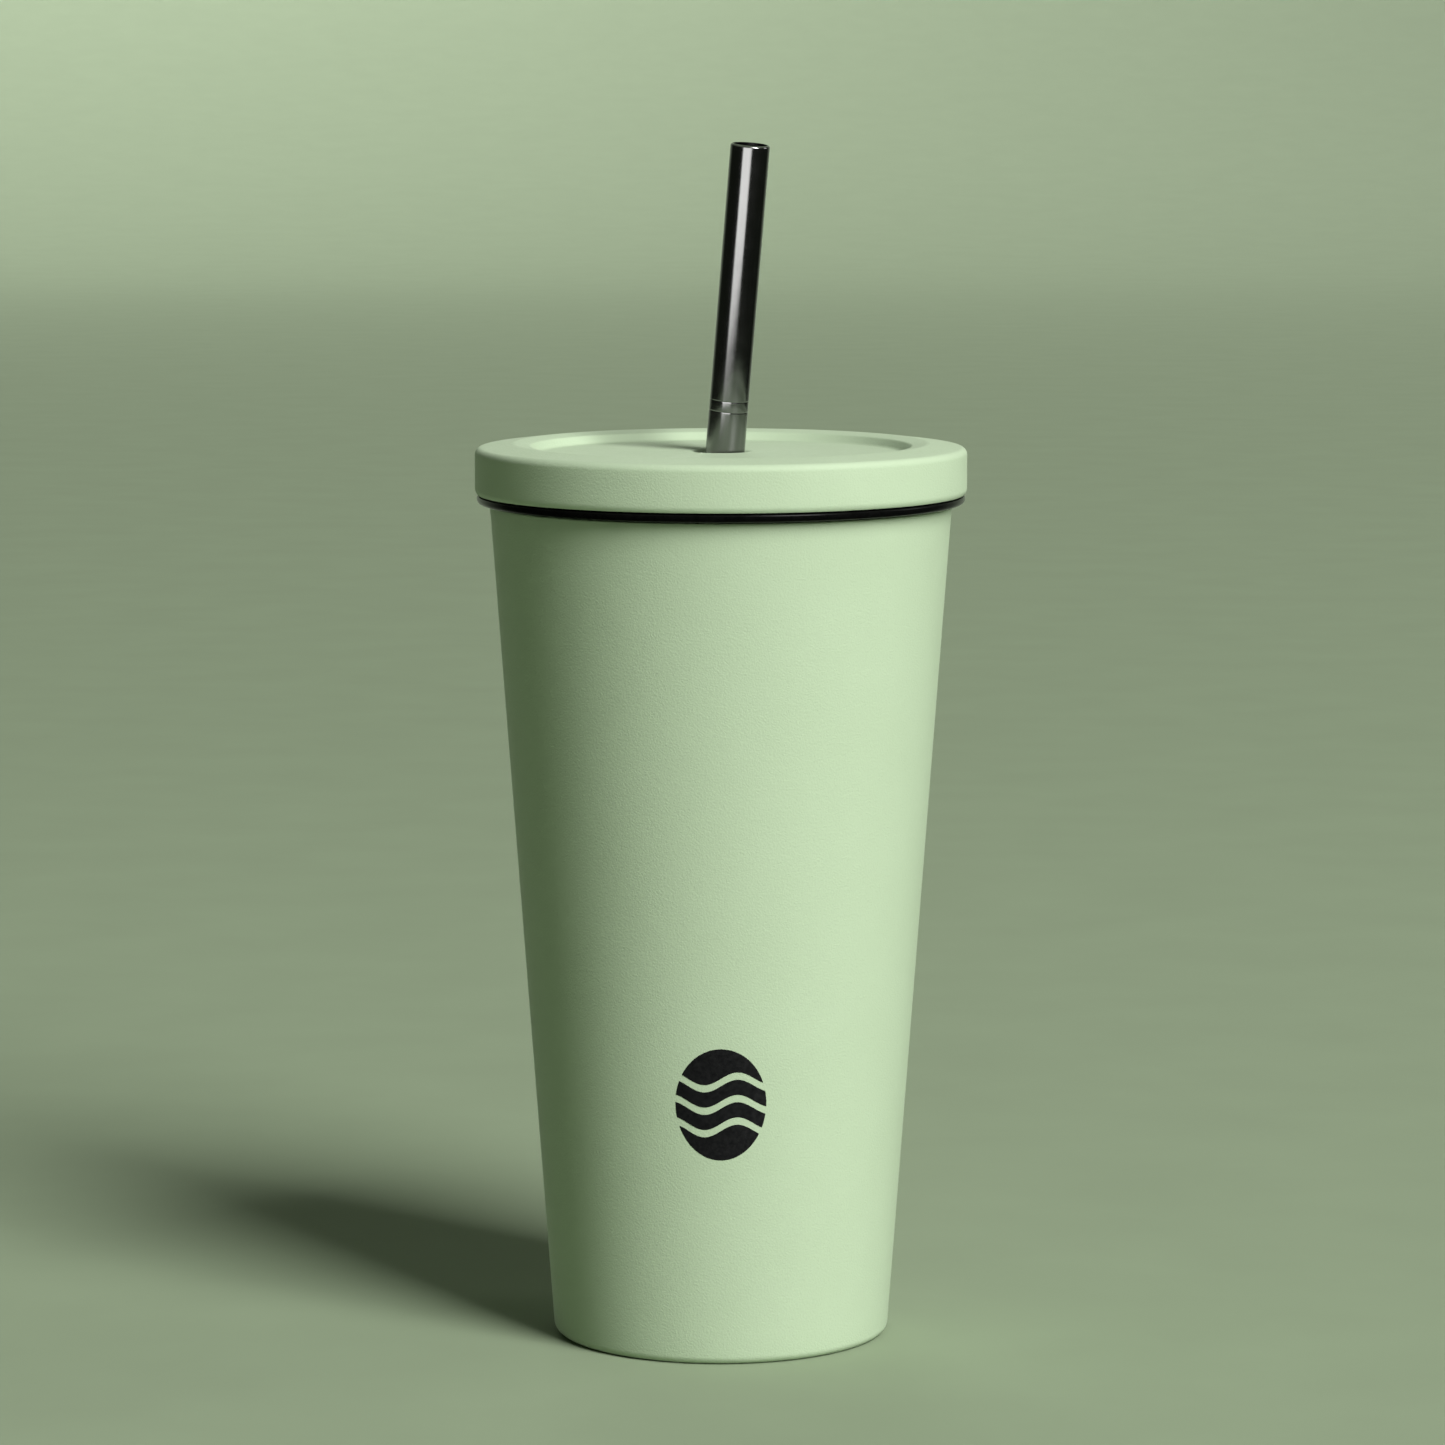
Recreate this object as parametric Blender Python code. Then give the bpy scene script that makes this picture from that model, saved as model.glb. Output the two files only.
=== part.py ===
"""Insulated travel mug: a double-walled steel cup, a push-in lid and a metal drinking straw.

The mug stands on the XY plane with its axis on Z. Its front faces -Y. Every size is in metres.
Almost every piece is turned sheet metal or a turned moulding, so it is built as a stack of
circles joined by a skin. The straw hole sits behind the lid's centre, so the circles around
it have their own centre.
"""
import math

import bmesh
import bpy
from mathutils import Vector

# Outside of the cup: a straight cone with a rolled foot
FOOT_RADIUS = 0.0342
CONE_SLOPE = 0.074
RIM_HEIGHT = 0.1701
FOOT_FILLET = 0.0018
FOOT_FLANGE_RADIUS = 0.0306
SHELL_SHEET = 0.0005
RIM_CHAMFER = 0.0003

# Liner: a second cone inside the first one, with a vacuum between them
WALL_DEPTH = 0.0036
LINER_SHEET = 0.0004
LINER_FLOOR = 0.0090
LINER_CORNER = 0.0040
LIP_ROUND = 0.0012
FOIL_SHEET = 0.00015
FOIL_BOTTOM = 0.014
FOIL_TOP = 0.160

# Bottom plates
BASE_PAN_HEIGHT = 0.0048
BASE_PAN_SKIRT = 0.0020
DIMPLE_RISE = 0.0012
PUMP_HOLE_RADIUS = 0.0009
BASE_COVER_RADIUS = 0.0320
BASE_COVER_HEIGHT = 0.0009
GETTER_PLACE = (0.016, 0.0)
GETTER_RADIUS = 0.005

# Lid cover: a pressed sheet. From the outside in: a hem that curls in, a skirt, a tight fillet,
# a shoulder that rises to a low crest, a gentle inner slope, a ledge, a steep wall and a sunk floor
LID_RADIUS = 0.0498
LID_BOTTOM = 0.1723
LID_SHEET = 0.0005
LID_FILLET = 0.0015
CREST_HEIGHT = 0.1825
CREST_RADIUS = 0.0420
CREST_ROUND = 0.0040
SHOULDER_ANGLE = 7
SLOPE_ANGLE = 9
LEDGE_RADIUS = 0.0389
LEDGE_ROUND = 0.0010
WALL_ANGLE = 50
LID_FLOOR = 0.1803
FLOOR_ROUND = 0.0014
HEM_ROUND = 0.0020
HEM_TURN = 40

# Straw hole in the lid
HOLE_CENTRE = (0.0, 0.0075)
HOLE_RADIUS = 0.0052
HOLE_ROUND = 0.0015
HOLE_COLLAR = 0.0005

# Plug under the lid cover, with the black flange that rests on the cup's rim
FLANGE_RADIUS = 0.0494
FLANGE_BOTTOM = 0.1704
FLANGE_TOP = 0.1720
FLANGE_ROUND = 0.0004
FLANGE_UNDER_ROUND = 0.0009
PLUG_WALL_RADIUS = 0.0486
PLUG_WALL_TOP = 0.1784
PLUG_WALL = 0.0020
PLATE_TOP = 0.1778
PLATE_BOTTOM = 0.1760
SKIRT_RADIUS = 0.0410
SKIRT_BOTTOM = 0.1585
GROOVE_BOTTOM = 0.1625
GROOVE_TOP = 0.1665
GROOVE_DEPTH = 0.0009
PLUG_HOLE_RADIUS = 0.0046
SEAL_FIN_RADIUS = 0.0423

# Straw: leans to the right and to the front, with its foot near the liner's corner
STRAW_RADIUS = 0.0040
STRAW_SHEET = 0.0005
STRAW_LEAN_X = 0.0817
STRAW_LEAN_Y = -0.0840
STRAW_AT_FLOOR = (0.00085, 0.0071)
STRAW_FOOT_HEIGHT = 0.00985
STRAW_LENGTH = 0.2343
STRAW_GROOVES = (0.1800, 0.1822)
STRAW_GROOVE_DEPTH = 0.00012
STRAW_GROOVE_HALF_WIDTH = 0.00025

FIT_GAP = 0.0003
SEGMENTS = 48
PAN_SEGMENTS = 24
SMALL_SEGMENTS = 20
STRAW_SEGMENTS = 24
SHARP_ANGLE = 30

CONE_ANGLE = math.degrees(math.atan(CONE_SLOPE))


def clear_scene():
    for item in list(bpy.data.objects):
        bpy.data.objects.remove(item, do_unlink=True)


def finish(name, colour, roughness, metallic):
    material = bpy.data.materials.new(name)
    material.use_nodes = True
    shader = material.node_tree.nodes["Principled BSDF"]
    shader.inputs["Base Color"].default_value = (*colour, 1.0)
    shader.inputs["Roughness"].default_value = roughness
    shader.inputs["Metallic"].default_value = metallic
    return material


def arc(centre, radius, start, end, steps):
    """Points on an arc in the (radius, height) half plane, with angles in degrees from +radius."""
    points = []
    for step in range(steps + 1):
        angle = math.radians(start + (end - start) * step / steps)
        points.append((centre[0] + radius * math.cos(angle), centre[1] + radius * math.sin(angle)))
    return points


def around(points, centre):
    """The same points, turned about another vertical line than the mug's axis."""
    return [(radius, height, centre) for radius, height in points]


def cone_radius(height):
    return FOOT_RADIUS + CONE_SLOPE * height


def circle(mesh, point, segments):
    radius, height = point[0], point[1]
    centre = point[2] if len(point) == 3 else (0.0, 0.0)
    if radius == 0:
        return [mesh.verts.new((centre[0], centre[1], height))]
    ring = []
    for step in range(segments):
        angle = 2 * math.pi * step / segments
        x = centre[0] + radius * math.cos(angle)
        y = centre[1] + radius * math.sin(angle)
        ring.append(mesh.verts.new((x, y, height)))
    return ring


def skin(mesh, first, second):
    """Join two neighbouring circles, either of which may be a single point on the axis."""
    count = max(len(first), len(second))
    if count == 1:
        return
    for step in range(count):
        following = (step + 1) % count
        corners = [first[step % len(first)], first[following % len(first)]]
        corners += [second[following % len(second)], second[step % len(second)]]
        mesh.faces.new(list(dict.fromkeys(corners)))


def turned(name, outline, material, segments=SEGMENTS, place=(0.0, 0.0, 0.0), parent=None):
    """A closed body from a closed outline of (radius, height) points, turned about Z."""
    mesh = bmesh.new()
    rings = [circle(mesh, point, segments) for point in outline]
    for first, second in zip(rings, rings[1:] + rings[:1]):
        skin(mesh, first, second)
    bmesh.ops.recalc_face_normals(mesh, faces=mesh.faces)
    data = bpy.data.meshes.new(name)
    mesh.to_mesh(data)
    mesh.free()
    data.shade_smooth()
    data.set_sharp_from_angle(angle=math.radians(SHARP_ANGLE))
    data.materials.append(material)
    body = bpy.data.objects.new(name, data)
    bpy.context.collection.objects.link(body)
    body.location = place
    if parent is not None:
        body.parent = parent
        body.matrix_parent_inverse = parent.matrix_world.inverted()
    return body


def axis_empty(name, place):
    empty = bpy.data.objects.new(name, None)
    bpy.context.collection.objects.link(empty)
    empty.location = place
    bpy.context.view_layer.update()
    return empty


def outer_shell(steel):
    """Coated outer cone. Its foot rolls under and ends in a narrow flat flange."""
    fillet_centre = (cone_radius(FOOT_FILLET) - FOOT_FILLET / math.cos(math.atan(CONE_SLOPE)), FOOT_FILLET)
    outline = [(cone_radius(RIM_HEIGHT) - RIM_CHAMFER, RIM_HEIGHT)]
    outline += [(cone_radius(RIM_HEIGHT - RIM_CHAMFER), RIM_HEIGHT - RIM_CHAMFER)]
    outline += [(cone_radius(RIM_HEIGHT / 2), RIM_HEIGHT / 2)]
    outline += arc(fillet_centre, FOOT_FILLET, -CONE_ANGLE, -90, 4)
    outline += [(FOOT_FLANGE_RADIUS, 0.0), (FOOT_FLANGE_RADIUS, SHELL_SHEET)]
    outline += arc(fillet_centre, FOOT_FILLET - SHELL_SHEET, -90, -CONE_ANGLE, 3)
    outline += [(cone_radius(RIM_HEIGHT) - SHELL_SHEET, RIM_HEIGHT)]
    return turned("outer_shell", outline, steel)


def liner(steel):
    """Bare steel inner cup. Its lip turns outward and fills the rim of the outer shell."""
    corner_height = LINER_FLOOR + LINER_CORNER
    wall_at_corner = cone_radius(corner_height) - WALL_DEPTH
    corner_centre = (wall_at_corner - LINER_CORNER / math.cos(math.atan(CONE_SLOPE)), corner_height)
    lip_height = RIM_HEIGHT - LIP_ROUND
    lip_centre = (cone_radius(lip_height) - WALL_DEPTH + LIP_ROUND, lip_height)
    lip_edge = cone_radius(RIM_HEIGHT) - SHELL_SHEET - FIT_GAP
    half_way = RIM_HEIGHT / 2
    inside = [(0.0, LINER_FLOOR)]
    inside += arc(corner_centre, LINER_CORNER, -90, -CONE_ANGLE, 4)
    inside += [(cone_radius(half_way) - WALL_DEPTH, half_way)]
    inside += arc(lip_centre, LIP_ROUND, 180, 90, 3)
    edge = [(lip_edge, RIM_HEIGHT), (lip_edge, RIM_HEIGHT - LINER_SHEET)]
    outside = arc(lip_centre, LIP_ROUND - LINER_SHEET, 90, 180, 2)
    outside += [(cone_radius(half_way) - WALL_DEPTH + LINER_SHEET, half_way)]
    outside += arc(corner_centre, LINER_CORNER + LINER_SHEET, -CONE_ANGLE, -90, 4)
    outside += [(0.0, LINER_FLOOR - LINER_SHEET)]
    return turned("liner", inside + edge + outside, steel)


def foil_wrap(foil):
    """Thin reflective foil round the liner, inside the vacuum."""
    inner = LINER_SHEET + FIT_GAP - WALL_DEPTH
    outline = [(cone_radius(FOIL_TOP) + inner, FOIL_TOP)]
    outline += [(cone_radius(FOIL_TOP) + inner + FOIL_SHEET, FOIL_TOP)]
    outline += [(cone_radius(FOIL_BOTTOM) + inner + FOIL_SHEET, FOIL_BOTTOM)]
    outline += [(cone_radius(FOIL_BOTTOM) + inner, FOIL_BOTTOM)]
    return turned("foil_wrap", outline, foil)


def vacuum_base(steel):
    """Welded pan that closes the vacuum, with a raised dimple and the pumping hole in it."""
    skirt_gap = SHELL_SHEET + FIT_GAP
    corner = 0.0010
    dimple_foot = 0.0090
    dimple_top = 0.0070
    dimple_height = BASE_PAN_HEIGHT + DIMPLE_RISE
    under = BASE_PAN_HEIGHT - SHELL_SHEET
    outer = cone_radius(BASE_PAN_HEIGHT - corner) - skirt_gap
    outline = [(cone_radius(BASE_PAN_SKIRT) - skirt_gap, BASE_PAN_SKIRT)]
    outline += arc((outer - corner, BASE_PAN_HEIGHT - corner), corner, 0, 90, 3)
    outline += [(dimple_foot, BASE_PAN_HEIGHT), (dimple_top, dimple_height)]
    outline += [(PUMP_HOLE_RADIUS, dimple_height), (PUMP_HOLE_RADIUS, dimple_height - SHELL_SHEET)]
    outline += [(dimple_top - FIT_GAP, dimple_height - SHELL_SHEET), (dimple_foot - FIT_GAP, under)]
    outline += arc((outer - corner, BASE_PAN_HEIGHT - corner), corner - SHELL_SHEET, 90, 0, 2)
    outline += [(cone_radius(BASE_PAN_SKIRT) - skirt_gap - SHELL_SHEET, BASE_PAN_SKIRT)]
    return turned("vacuum_base", outline, steel, PAN_SEGMENTS)


def seal_bead(glass):
    """Drop of solder glass that plugs the pumping hole from below."""
    top = BASE_PAN_HEIGHT + DIMPLE_RISE - SHELL_SHEET - FIT_GAP
    outline = [(0.0, top), (0.0032, top), (0.0028, top - 0.0004), (0.0018, top - 0.0007), (0.0, top - 0.0008)]
    return turned("seal_bead", outline, glass, SMALL_SEGMENTS)


def base_cover(steel):
    """Finishing disc inside the foot, with a stamped centre and an upturned edge."""
    sheet = SHELL_SHEET
    bottom = BASE_COVER_HEIGHT
    stamp_rise = 0.0003
    stamp_outer = 0.0220
    stamp_inner = 0.0214
    edge_height = 0.0023
    edge_round = 0.0004
    outline = [(0.0, bottom + stamp_rise + sheet), (stamp_inner, bottom + stamp_rise + sheet)]
    outline += [(stamp_outer, bottom + sheet), (BASE_COVER_RADIUS - sheet, bottom + sheet)]
    outline += [(BASE_COVER_RADIUS - sheet, bottom + edge_height), (BASE_COVER_RADIUS, bottom + edge_height)]
    outline += [(BASE_COVER_RADIUS, bottom + edge_round), (BASE_COVER_RADIUS - edge_round, bottom)]
    outline += [(stamp_outer, bottom), (stamp_inner, bottom + stamp_rise), (0.0, bottom + stamp_rise)]
    return turned("base_cover", outline, steel)


def getter(steel, getter_metal):
    """Small dish and the gas-absorbing pellet in it, between the two bottoms."""
    low = BASE_PAN_HEIGHT + FIT_GAP
    wall = 0.0004
    height = 0.0015
    pellet_radius = GETTER_RADIUS - wall - FIT_GAP
    dish = [(0.0, low), (GETTER_RADIUS, low), (GETTER_RADIUS, low + height)]
    dish += [(GETTER_RADIUS - wall, low + height), (GETTER_RADIUS - wall, low + wall), (0.0, low + wall)]
    pellet_low = low + wall + FIT_GAP
    pellet = [(0.0, pellet_low), (pellet_radius, pellet_low)]
    pellet += [(pellet_radius, low + height), (0.0, low + height)]
    place = (*GETTER_PLACE, 0.0)
    turned("getter_tray", dish, steel, SMALL_SEGMENTS, place)
    turned("getter_pellet", pellet, getter_metal, SMALL_SEGMENTS, place)


def polar(centre, radius, angle):
    turn = math.radians(angle)
    return (centre[0] + radius * math.cos(turn), centre[1] + radius * math.sin(turn))


def lid_surface(depth):
    """One side of the lid's sheet, from the skirt to the straw hole, at a depth below the outside."""
    shoulder = 90 - SHOULDER_ANGLE
    slope = 90 + SLOPE_ANGLE
    wall = 90 + WALL_ANGLE
    crest_centre = (CREST_RADIUS, CREST_HEIGHT - CREST_ROUND)

    # The shoulder is tangent to the fillet and to the crest
    crest_start = polar(crest_centre, CREST_ROUND, shoulder)
    fillet_radius = LID_RADIUS - LID_FILLET
    fillet_end = polar((fillet_radius, 0.0), LID_FILLET, shoulder)
    drop = (fillet_end[0] - crest_start[0]) * math.tan(math.radians(SHOULDER_ANGLE))
    fillet_centre = (fillet_radius, crest_start[1] - drop - fillet_end[1])

    # The inner slope is tangent to the crest and to the ledge
    crest_end = polar(crest_centre, CREST_ROUND, slope)
    ledge_height = crest_end[1] - (crest_end[0] - LEDGE_RADIUS) * math.tan(math.radians(SLOPE_ANGLE))
    ledge_centre = polar((LEDGE_RADIUS, ledge_height), -LEDGE_ROUND, slope)

    # The wall is tangent to the ledge and to the hollow round at the floor
    ledge_end = polar(ledge_centre, LEDGE_ROUND, wall)
    floor_turn = polar((0.0, 0.0), FLOOR_ROUND, WALL_ANGLE - 90)
    wall_foot = LID_FLOOR + FLOOR_ROUND + floor_turn[1]
    run = (ledge_end[1] - wall_foot) / math.tan(math.radians(WALL_ANGLE))
    floor_centre = (ledge_end[0] - run - floor_turn[0], LID_FLOOR + FLOOR_ROUND)

    hole_centre = (HOLE_RADIUS + HOLE_ROUND, LID_FLOOR - HOLE_ROUND)
    hole_edge = (HOLE_RADIUS + depth, LID_FLOOR - HOLE_ROUND - HOLE_COLLAR)
    points = arc(fillet_centre, LID_FILLET - depth, 0, shoulder, 4)
    points += arc(crest_centre, CREST_ROUND - depth, shoulder, slope, 2)
    points += arc(ledge_centre, LEDGE_ROUND - depth, slope, wall, 2)
    points += arc(floor_centre, FLOOR_ROUND + depth, WALL_ANGLE - 90, -90, 2)
    points += around(arc(hole_centre, HOLE_ROUND - depth, 90, 180, 3), HOLE_CENTRE)
    points += around([hole_edge], HOLE_CENTRE)
    return points


def lid_hem(depth):
    """The hem's curl on one side of the sheet, from its edge up to the skirt."""
    curl_centre = (LID_RADIUS - HEM_ROUND, LID_BOTTOM + HEM_ROUND * math.sin(math.radians(HEM_TURN)))
    return arc(curl_centre, HEM_ROUND - depth, -HEM_TURN, 0, 2)


def lid_cover(coat, parent):
    """Coated pressed cover, from the curled hem over the crest to the straw hole."""
    outside = lid_hem(0.0) + lid_surface(0.0)
    inside = lid_hem(LID_SHEET) + lid_surface(LID_SHEET)
    return turned("lid_cover", outside + inside[::-1], coat, parent=parent)


def straw_centre(height):
    """Where the straw's axis crosses a level above the table."""
    rise = height - LID_FLOOR
    return (STRAW_AT_FLOOR[0] + STRAW_LEAN_X * rise, STRAW_AT_FLOOR[1] + STRAW_LEAN_Y * rise)


def lid_plug(plastic, parent):
    """Moulded plug: flange on the rim, skirt into the mouth, wall and plate inside the cover."""
    hole = straw_centre((PLATE_TOP + PLATE_BOTTOM) / 2)
    wall_inside = PLUG_WALL_RADIUS - PLUG_WALL
    skirt_inside = SKIRT_RADIUS - PLUG_WALL
    groove = SKIRT_RADIUS - GROOVE_DEPTH
    plate_round = 0.0020
    outline = around([(PLUG_HOLE_RADIUS, PLATE_BOTTOM), (PLUG_HOLE_RADIUS, PLATE_TOP)], hole)
    outline += [(wall_inside, PLATE_TOP), (wall_inside, PLUG_WALL_TOP)]
    outline += [(PLUG_WALL_RADIUS, PLUG_WALL_TOP), (PLUG_WALL_RADIUS, FLANGE_TOP)]
    outline += arc((FLANGE_RADIUS - FLANGE_ROUND, FLANGE_TOP - FLANGE_ROUND), FLANGE_ROUND, 90, 0, 2)
    under_centre = (FLANGE_RADIUS - FLANGE_UNDER_ROUND, FLANGE_BOTTOM + FLANGE_UNDER_ROUND)
    outline += arc(under_centre, FLANGE_UNDER_ROUND, 0, -90, 3)
    outline += [(SKIRT_RADIUS, FLANGE_BOTTOM), (SKIRT_RADIUS, GROOVE_TOP), (groove, GROOVE_TOP)]
    outline += [(groove, GROOVE_BOTTOM), (SKIRT_RADIUS, GROOVE_BOTTOM)]
    outline += [(SKIRT_RADIUS, SKIRT_BOTTOM + FLANGE_ROUND), (SKIRT_RADIUS - FLANGE_ROUND, SKIRT_BOTTOM)]
    outline += [(skirt_inside, SKIRT_BOTTOM)]
    outline += arc((skirt_inside - plate_round, PLATE_BOTTOM - plate_round), plate_round, 0, 90, 3)
    return turned("lid_plug", outline, plastic, parent=parent)


def lid_seal(rubber, parent):
    """Silicone ring in the plug's groove, with two fins towards the liner."""
    back = SKIRT_RADIUS - GROOVE_DEPTH + FIT_GAP
    body = SKIRT_RADIUS + 0.0003
    low = GROOVE_BOTTOM + FIT_GAP
    high = GROOVE_TOP - FIT_GAP
    fin_root = 0.0010
    fin_tip = 0.0003
    outline = [(back, low)]
    for fin_centre in (low + fin_root, high - fin_root):
        outline += [(body, fin_centre - 0.0009), (SEAL_FIN_RADIUS, fin_centre - fin_tip)]
        outline += [(SEAL_FIN_RADIUS, fin_centre + fin_tip), (body, fin_centre + 0.0006)]
    outline += [(back, high)]
    return turned("lid_seal", outline, rubber, parent=parent)


def straw_tube(metal, parent):
    """Thin metal tube along its own leaning axis, with its origin at the centre of its foot."""
    bore = STRAW_RADIUS - STRAW_SHEET
    half_sheet = STRAW_SHEET / 2
    outline = arc((STRAW_RADIUS - half_sheet, half_sheet), half_sheet, 180, 360, 4)
    for groove in STRAW_GROOVES:
        outline += [(STRAW_RADIUS, groove - STRAW_GROOVE_HALF_WIDTH)]
        outline += [(STRAW_RADIUS - STRAW_GROOVE_DEPTH, groove)]
        outline += [(STRAW_RADIUS, groove + STRAW_GROOVE_HALF_WIDTH)]
    outline += arc((bore, STRAW_LENGTH - STRAW_SHEET), STRAW_SHEET, 0, 90, 4)
    foot = (*straw_centre(STRAW_FOOT_HEIGHT), STRAW_FOOT_HEIGHT)
    tube = turned("straw_tube", outline, metal, STRAW_SEGMENTS, foot)
    lean = Vector((STRAW_LEAN_X, STRAW_LEAN_Y, 1.0))
    tube.rotation_mode = "QUATERNION"
    tube.rotation_quaternion = Vector((0.0, 0.0, 1.0)).rotation_difference(lean.normalized())
    tube.parent = parent
    tube.matrix_parent_inverse = parent.matrix_world.inverted()
    return tube


def build_mug():
    green_coat = finish("green_powder_coat", (0.48, 0.63, 0.39), 0.55, 0.0)
    green_lid = finish("green_lid_coat", (0.48, 0.63, 0.39), 0.55, 0.0)
    liner_steel = finish("brushed_liner_steel", (0.62, 0.62, 0.60), 0.32, 1.0)
    base_steel = finish("brushed_base_steel", (0.58, 0.58, 0.56), 0.38, 1.0)
    pan_steel = finish("plain_pan_steel", (0.50, 0.50, 0.48), 0.42, 1.0)
    tray_steel = finish("plain_tray_steel", (0.45, 0.45, 0.43), 0.45, 1.0)
    foil = finish("aluminium_foil", (0.80, 0.80, 0.80), 0.25, 1.0)
    glass = finish("solder_glass", (0.30, 0.28, 0.22), 0.15, 0.0)
    getter_metal = finish("sintered_getter", (0.22, 0.21, 0.20), 0.80, 0.6)
    black_plastic = finish("black_plastic", (0.006, 0.006, 0.006), 0.42, 0.0)
    black_silicone = finish("black_silicone", (0.012, 0.012, 0.012), 0.60, 0.0)
    dark_chrome = finish("dark_straw_metal", (0.10, 0.10, 0.10), 0.18, 1.0)

    outer_shell(green_coat)
    liner(liner_steel)
    foil_wrap(foil)
    vacuum_base(pan_steel)
    seal_bead(glass)
    base_cover(base_steel)
    getter(tray_steel, getter_metal)

    lid_axis = axis_empty("lid_axis", (0.0, 0.0, RIM_HEIGHT))
    lid_cover(green_lid, lid_axis)
    lid_plug(black_plastic, lid_axis)
    lid_seal(black_silicone, lid_axis)
    straw_tube(dark_chrome, lid_axis)


clear_scene()
build_mug()
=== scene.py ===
"""Looks of the insulated travel mug: fine turned shells, coated and metal finishes, floor and light."""
import math

import bmesh
import bpy
from mathutils import Matrix, Vector


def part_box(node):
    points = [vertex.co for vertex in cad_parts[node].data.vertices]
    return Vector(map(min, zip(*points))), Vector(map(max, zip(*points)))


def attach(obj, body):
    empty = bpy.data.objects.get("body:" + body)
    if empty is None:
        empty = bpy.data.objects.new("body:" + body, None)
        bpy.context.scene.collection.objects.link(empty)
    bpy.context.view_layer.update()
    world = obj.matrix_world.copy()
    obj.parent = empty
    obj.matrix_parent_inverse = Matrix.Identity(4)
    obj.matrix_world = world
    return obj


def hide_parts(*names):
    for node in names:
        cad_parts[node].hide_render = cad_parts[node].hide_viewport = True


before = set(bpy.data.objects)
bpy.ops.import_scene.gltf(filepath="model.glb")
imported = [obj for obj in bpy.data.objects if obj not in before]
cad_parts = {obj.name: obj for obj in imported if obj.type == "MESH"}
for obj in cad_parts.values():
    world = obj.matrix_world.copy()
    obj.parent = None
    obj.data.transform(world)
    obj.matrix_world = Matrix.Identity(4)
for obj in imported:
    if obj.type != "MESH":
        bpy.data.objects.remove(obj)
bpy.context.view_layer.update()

MM = 0.001

# ---------------------------------------------------------------- sizes worked out from the frame

SHELL_LOW, SHELL_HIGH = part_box("outer_shell")
LID_LOW, LID_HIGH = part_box("lid_cover")
PLUG_LOW, PLUG_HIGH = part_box("lid_plug")
LINER_LOW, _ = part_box("liner")
COVER_LOW, COVER_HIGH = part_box("base_cover")

# Cup. The shell is widest just below its rounded rim
CONE_SLOPE = 0.074
CONE_ANGLE = math.degrees(math.atan(CONE_SLOPE))
CONE_COS = math.cos(math.atan(CONE_SLOPE))
RIM_HEIGHT = SHELL_HIGH.z
RIM_ROUND = 0.3 * MM
FOOT_RADIUS = SHELL_HIGH.x + RIM_ROUND * CONE_SLOPE - CONE_SLOPE * RIM_HEIGHT
SHEET = 0.5 * MM
LINER_SHEET = 0.4 * MM
FIT_GAP = 0.3 * MM
FOOT_FILLET = 1.8 * MM
FOOT_FLANGE_RADIUS = 30.6 * MM
FOOT_FLANGE_ROUND = 0.2 * MM
WALL_DEPTH = 3.6 * MM
LINER_FLOOR = LINER_LOW.z + LINER_SHEET
LINER_CORNER = 4.0 * MM
LIP_ROUND = 1.2 * MM

# Base cover: its middle is stamped up. The stamp's edge is a little wider underneath
COVER_ROUND = 0.4 * MM
STAMP_RISE = 0.3 * MM
STAMP_RADIUS = 21.4 * MM
STAMP_EDGE_ABOVE = 22.0 * MM
STAMP_EDGE_BELOW = 22.3 * MM

# Lid cover, from the skirt inwards. Angles are in degrees
LID_RADIUS = LID_HIGH.x
LID_BOTTOM = LID_LOW.z
LID_FILLET = 1.5 * MM
CREST_HEIGHT = LID_HIGH.z
CREST_RADIUS = 42.0 * MM
CREST_ROUND = 4.0 * MM
SHOULDER_ANGLE = 7
SLOPE_ANGLE = 9
LEDGE_RADIUS = 38.9 * MM
LEDGE_ROUND = 1.0 * MM
WALL_ANGLE = 50
LID_FLOOR = 180.3 * MM
FLOOR_ROUND = 1.4 * MM
HEM_ROUND = 2.0 * MM
HEM_TURN = 40
HOLE_CENTRE = (0.0, 7.5 * MM)
HOLE_RADIUS = 5.2 * MM
HOLE_ROUND = 1.5 * MM
HOLE_COLLAR = 0.5 * MM
HOLE_MARGINS = (8.0 * MM, 3.0 * MM)

# Plug: the flange under the lid, the wall inside the lid's skirt, the plate and the skirt in the cup
FLANGE_RADIUS = PLUG_HIGH.x
FLANGE_TOP = 172.0 * MM
FLANGE_BOTTOM = 170.4 * MM
FLANGE_ROUND = 0.4 * MM
FLANGE_UNDER_ROUND = 0.9 * MM
PLUG_WALL_RADIUS = 48.6 * MM
PLUG_WALL = 2.0 * MM
PLATE_TOP = 177.8 * MM
PLATE_BOTTOM = 176.0 * MM
PLATE_ROUND = 2.0 * MM
SKIRT_RADIUS = 41.0 * MM
SKIRT_ROUND = 0.4 * MM
GROOVE_BOTTOM = 162.5 * MM
GROOVE_TOP = 166.5 * MM
GROOVE_DEPTH = 0.9 * MM
PLUG_HOLE_RADIUS = 4.6 * MM

# Straw: a tube that leans to the right and the front, with two fine grooves rolled round it
STRAW_RADIUS = 4.0 * MM
STRAW_SHEET = 0.5 * MM
STRAW_LEAN = Vector((0.0817, -0.0840, 1.0))
STRAW_TURN = Vector((0.0, 0.0, 1.0)).rotation_difference(STRAW_LEAN.normalized())
STRAW_AT_FLOOR = Vector((0.85 * MM, 7.1 * MM, LID_FLOOR))
STRAW_FOOT_HEIGHT = 9.85 * MM
STRAW_LENGTH = 234.28 * MM
STRAW_GROOVES = (180.0 * MM, 182.2 * MM)
STRAW_GROOVE_DEPTH = 0.03 * MM
STRAW_GROOVE_HALF = 0.2 * MM
STRAW_GROOVE_STEPS = 6

# Meshes: steps round a turned piece, and the angle from which an edge is shaded sharp
FINE = 288
SLIM = 96
COARSE = 128
SHARP_ANGLE = 40


def cone_radius(height):
    return FOOT_RADIUS + CONE_SLOPE * height


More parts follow.
